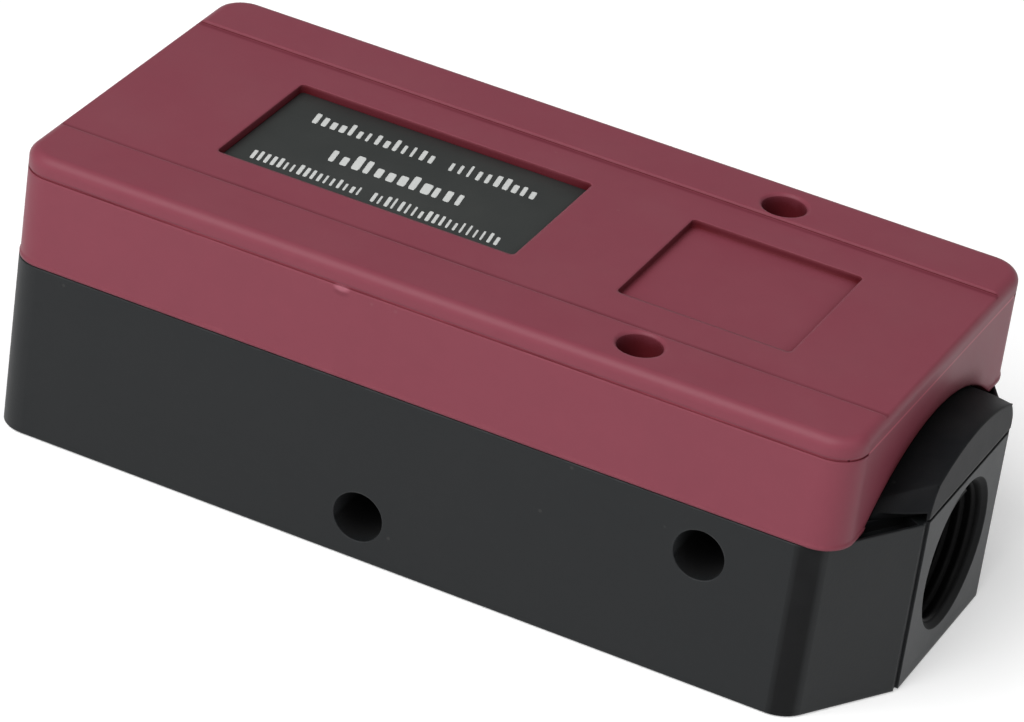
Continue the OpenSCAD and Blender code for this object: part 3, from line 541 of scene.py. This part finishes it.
def build_turned_lines():
    """Tool marks of a lathe that turned a piece about an axis along X, at a given height."""
    tree, given, out = new_group(
        "turned_lines",
        [("Axis Height", FLOAT, port_height), ("Tone", COLOUR, (0.6, 0.5, 0.3, 1)),
         ("Roughness", FLOAT, 0.28)],
        [("Colour", COLOUR), ("Roughness", FLOAT), ("Height", FLOAT)])
    place = here(tree)
    parts = split(tree, place)
    radius = from_axis(tree, parts, given["Axis Height"])
    across = add_node(tree, "ShaderNodeCombineXYZ", {0: parts["X"], 1: radius}).outputs[0]
    marks = noise(tree, across, 9000.0, 2.0, 0.6)
    tarnish = noise(tree, place, 180.0, 4.0, 0.6)
    value = maths(tree, "MULTIPLY_ADD", maths(tree, "SUBTRACT", tarnish, 0.5), 0.35, 1.0)
    shade = add_node(tree, "ShaderNodeHueSaturation", {"Color": given["Tone"], "Value": value})
    tree.links.new(shade.outputs["Color"], out["Colour"])
    dull = maths(tree, "MULTIPLY_ADD", maths(tree, "SUBTRACT", tarnish, 0.5), 0.3, given["Roughness"])
    tree.links.new(dull, out["Roughness"])
    tree.links.new(marks, out["Height"])
    return tree


turned_lines = build_turned_lines()


def turned_metal(name, tone, axis_height, roughness):
    """Metal turned on a lathe."""
    material, tree, shader = new_material(name)
    skin = place_group(tree, turned_lines, Tone=tone, Axis_Height=axis_height, Roughness=roughness)
    tree.links.new(skin["Colour"], shader["Base Color"])
    tree.links.new(skin["Roughness"], shader["Roughness"])
    relieve(tree, shader, skin["Height"], depth=0.000004, edge=0.00012)
    shader["Metallic"].default_value = 1.0
    return material


insert_brass = turned_metal("insert_brass", srgb(206, 172, 110), port_height, 0.28)
dress(["inlet_insert"], insert_brass)
inlet_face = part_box("inlet_insert")[0].x
grown("inlet_thread", thread_ridge, "brass", Major_Radius=0.00487, Depth=0.00059, Pitch=0.000907, Turns=6.6,
      Start=(inlet_face + 0.0067, 0, port_height), Finish=insert_brass)


def sintered(name, tone):
    """Sintered bronze: a crust of small round grains."""
    material, tree, shader = new_material(name)
    place = here(tree)
    beads = add_node(tree, "ShaderNodeTexVoronoi", {"Vector": place, "Scale": 3800.0}).outputs["Distance"]
    value = ramp(tree, beads, 0.0, 0.8, 1.1, 0.4)
    shade = add_node(tree, "ShaderNodeHueSaturation", {"Color": tone, "Value": value})
    tree.links.new(shade.outputs["Color"], shader["Base Color"])
    tree.links.new(ramp(tree, beads, 0.0, 0.8, 0.35, 0.7), shader["Roughness"])
    relief = add_node(tree, "ShaderNodeBump", {"Distance": 0.00008, "Height": beads}, invert=True).outputs[0]
    tree.links.new(relief, shader["Normal"])
    shader["Metallic"].default_value = 1.0
    return material


dress(["inlet_strainer"], sintered("sintered_bronze", srgb(186, 146, 96)))


# ---- Nozzles ----
# Four turned brass nozzles in line, each with a wider throat than the one before. Each
# is pushed into its own partition of the nozzle block on an O-ring.

nozzle_low, nozzle_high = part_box("nozzle_1")
nozzle_brass = turned_metal("nozzle_brass", srgb(212, 180, 116), (nozzle_low.z + nozzle_high.z) / 2, 0.22)
dress(["nozzle_1", "nozzle_2", "nozzle_3", "nozzle_4"], nozzle_brass)


# ---- Check flaps ----
# Three soft nitrile flaps over the valve windows. Each snaps into a pair of hooks by
# the round bead along its edge, and lifts when its stage draws.

flap_rubber = moulded(
    "flap_rubber", srgb(124, 78, 62), spread=0.1, roughness=0.55, grain_scale=1800.0, grain_depth=0.00001,
    worn_sheen_tone=srgb(150, 104, 88), wear=0.15, deep=srgb(60, 34, 26))
dress(["check_flap_1", "check_flap_2", "check_flap_3"], flap_rubber)


# ---- Gaskets and seals ----
# Black nitrile rubber: a ring let into the top of the lower body, a flat gasket under
# the cover, a small ring round the air riser and one on each nozzle.

seal_rubber = moulded(
    "seal_rubber", srgb(34, 34, 36), spread=0.1, roughness=0.6, grain_scale=1600.0, grain_depth=0.00001,
    worn_sheen_tone=srgb(60, 60, 60), wear=0.1, deep=srgb(10, 10, 10), specular=0.3)
dress(["body_gasket", "cover_gasket", "riser_seal"] + [f"nozzle_seal_{i}" for i in range(1, 5)], seal_rubber)


# ---- Silencer bars ----
# Two bars of pale felted fibre that muffle the exhaust. They lie loose in the lanes
# beside the nozzle chambers, under the cover.

def felted(name, tone):
    """Felted fibre: short crossing strands with soft hollows."""
    material, tree, shader = new_material(name)
    place = here(tree)
    long_way = add_node(tree, "ShaderNodeMapping", {"Vector": place, "Scale": (0.35, 1.0, 1.0)}).outputs[0]
    cross_way = add_node(tree, "ShaderNodeMapping", {
        "Vector": place, "Scale": (1.0, 0.35, 0.35), "Rotation": (0.3, 0.5, 0.8)}).outputs[0]
    strands = maths(tree, "MAXIMUM", *[noise(tree, way, 2400.0, 3.0, 0.7) for way in (long_way, cross_way)])
    hollows = noise(tree, place, 300.0, 3.0, 0.6)
    height = maths(tree, "MULTIPLY_ADD", hollows, 0.6, strands)
    value = ramp(tree, height, 0.7, 1.2, 0.78, 1.06)
    shade = add_node(tree, "ShaderNodeHueSaturation", {"Color": tone, "Value": value})
    tree.links.new(shade.outputs["Color"], shader["Base Color"])
    relief = add_node(tree, "ShaderNodeBump", {"Distance": 0.00015, "Height": height}).outputs[0]
    tree.links.new(relief, shader["Normal"])
    shader["Roughness"].default_value = 0.95
    return material


dress(["silencer_bar_near", "silencer_bar_far"], felted("felted_fibre", srgb(222, 218, 206)))


# ---- Screws ----
# Zinc-plated steel with cross-recessed pan heads: two sunk deep in the cover, and four
# in the underside that go up into the nozzle block.

def plated(name, tone, roughness):
    """Zinc plating: bright, faintly cloudy and fine-scratched."""
    material, tree, shader = new_material(name)
    skin = place_group(tree, moulding_grain, Tone=tone, Tone_Spread=0.16, Gloss_Spread=0.2,
                       Roughness=roughness, Grain_Scale=5200.0)
    tree.links.new(skin["Colour"], shader["Base Color"])
    tree.links.new(skin["Roughness"], shader["Roughness"])
    relieve(tree, shader, skin["Height"], depth=0.000006, edge=0.00015)
    shader["Metallic"].default_value = 1.0
    return material


zinc_plate = plated("zinc_plate", srgb(186, 186, 190), 0.34)
dress(["cover_screw_near", "cover_screw_far"] + [f"block_screw_{i}" for i in range(1, 5)], zinc_plate)


# ---- Floor, light and camera ----
# A white table under two large soft lamps, seen from the near side and above. The table
# lies a little below the part. It is clear from below and to rays that start in the gap.

def by_metal_or_glass(tree, seen_by):
    """Whether a ray comes by way of metal or glass."""
    return maths(tree, "MAXIMUM", seen_by["Is Glossy Ray"], seen_by["Is Transmission Ray"])


half_side = 3.0
table_top = -0.0002
corners = [(x * half_side, y * half_side, table_top) for x, y in ((-1, -1), (1, -1), (1, 1), (-1, 1))]
floor_mesh = bpy.data.meshes.new("floor")
floor_mesh.from_pydata(corners, [], [(0, 1, 2, 3)])
floor = bpy.data.objects.new("floor", floor_mesh)
bpy.context.scene.collection.objects.link(floor)
white_table, floor_tree, floor_shader = new_material("white_table")
floor_shader["Base Color"].default_value = (0.8, 0.8, 0.8, 1)
floor_shader["Roughness"].default_value = 0.9
floor_shader["Specular IOR Level"].default_value = 0.1
floor_shader["Emission Color"].default_value = (1, 1, 1, 1)
table_ray = add_node(floor_tree, "ShaderNodeLightPath").outputs
mirrored = by_metal_or_glass(floor_tree, table_ray)
background = maths(floor_tree, "MAXIMUM", table_ray["Is Camera Ray"], mirrored)
spread = add_node(floor_tree, "ShaderNodeVectorMath", {0: here(floor_tree)}, operation="LENGTH")
brightness = ramp(floor_tree, spread.outputs["Value"], 0.2, 1.2, 0.35, 1.0)
floor_tree.links.new(product(floor_tree, background, brightness), floor_shader["Emission Strength"])
seen_through = add_node(floor_tree, "ShaderNodeBsdfTransparent").outputs[0]
from_below = add_node(floor_tree, "ShaderNodeNewGeometry").outputs["Backfacing"]
from_the_gap = maths(floor_tree, "LESS_THAN", table_ray["Ray Length"], 4 * abs(table_top))
solid = floor_tree.nodes["Principled BSDF"].outputs[0]
surface = add_node(floor_tree, "ShaderNodeMixShader", {
    0: maths(floor_tree, "MAXIMUM", from_below, from_the_gap), 1: solid, 2: seen_through}).outputs[0]
floor_tree.links.new(surface, floor_tree.nodes["Material Output"].inputs["Surface"])
floor_mesh.materials.append(white_table)

studio = bpy.data.worlds.new("studio")
bpy.context.scene.world = studio
studio.use_nodes = True
sky = studio.node_tree
upward = split(sky, add_node(sky, "ShaderNodeTexCoord").outputs["Generated"])["Z"]
overhead = ramp(sky, upward, 0.0, 0.45, 0.35, 0.2)
backdrop = ramp(sky, upward, 0.04, 0.25, 1.0, 0.2)
sky_ray = add_node(sky, "ShaderNodeLightPath").outputs
indirect = add_node(sky, "ShaderNodeMix", {
    0: by_metal_or_glass(sky, sky_ray), 2: overhead, 3: backdrop}).outputs[0]
strength = add_node(sky, "ShaderNodeMix", {0: sky_ray["Is Camera Ray"], 2: indirect, 3: 1.0}).outputs[0]
sky.links.new(strength, sky.nodes["Background"].inputs["Strength"])
sky.nodes["Background"].inputs["Color"].default_value = (1, 1, 1, 1)


def direction(azimuth, elevation):
    """The way from the ejector to what looks at it, from angles in degrees."""
    a, e = math.radians(azimuth), math.radians(elevation)
    return Vector((math.sin(a) * math.cos(e), -math.cos(a) * math.cos(e), math.sin(e)))


def soft_lamp(name, azimuth, elevation, distance, size, watts):
    """A square lamp that looks at the ejector from a given side."""
    light = bpy.data.lights.new(name, "AREA")
    light.shape = "SQUARE"
    light.size = size
    light.energy = watts
    lamp = bpy.data.objects.new(name, light)
    away = direction(azimuth, elevation)
    lamp.location = away * distance
    lamp.rotation_mode = "QUATERNION"
    lamp.rotation_quaternion = away.to_track_quat("Z", "Y")
    bpy.context.scene.collection.objects.link(lamp)


soft_lamp("key_lamp", azimuth=-18, elevation=52, distance=1.0, size=0.9, watts=11.4)
soft_lamp("side_lamp", azimuth=78, elevation=35, distance=1.2, size=0.8, watts=2.0)

roll = math.radians(8.4005)
back = direction(azimuth=21.888, elevation=29.966)
level_right = (-back).cross(Vector((0, 0, 1))).normalized()
level_up = level_right.cross(-back)
right = level_right * math.cos(roll) + level_up * math.sin(roll)
up = level_up * math.cos(roll) - level_right * math.sin(roll)
camera_data = bpy.data.cameras.new("camera")
camera_data.sensor_width = 36.0
camera_data.lens = 191.0
camera = bpy.data.objects.new("camera", camera_data)
stand = Matrix.Translation((0.20061, -0.50341, 0.32880))
camera.matrix_world = stand @ Matrix((right, up, back)).transposed().to_4x4()
bpy.context.scene.collection.objects.link(camera)
bpy.context.scene.camera = camera
bpy.context.scene.view_settings.view_transform = "Standard"
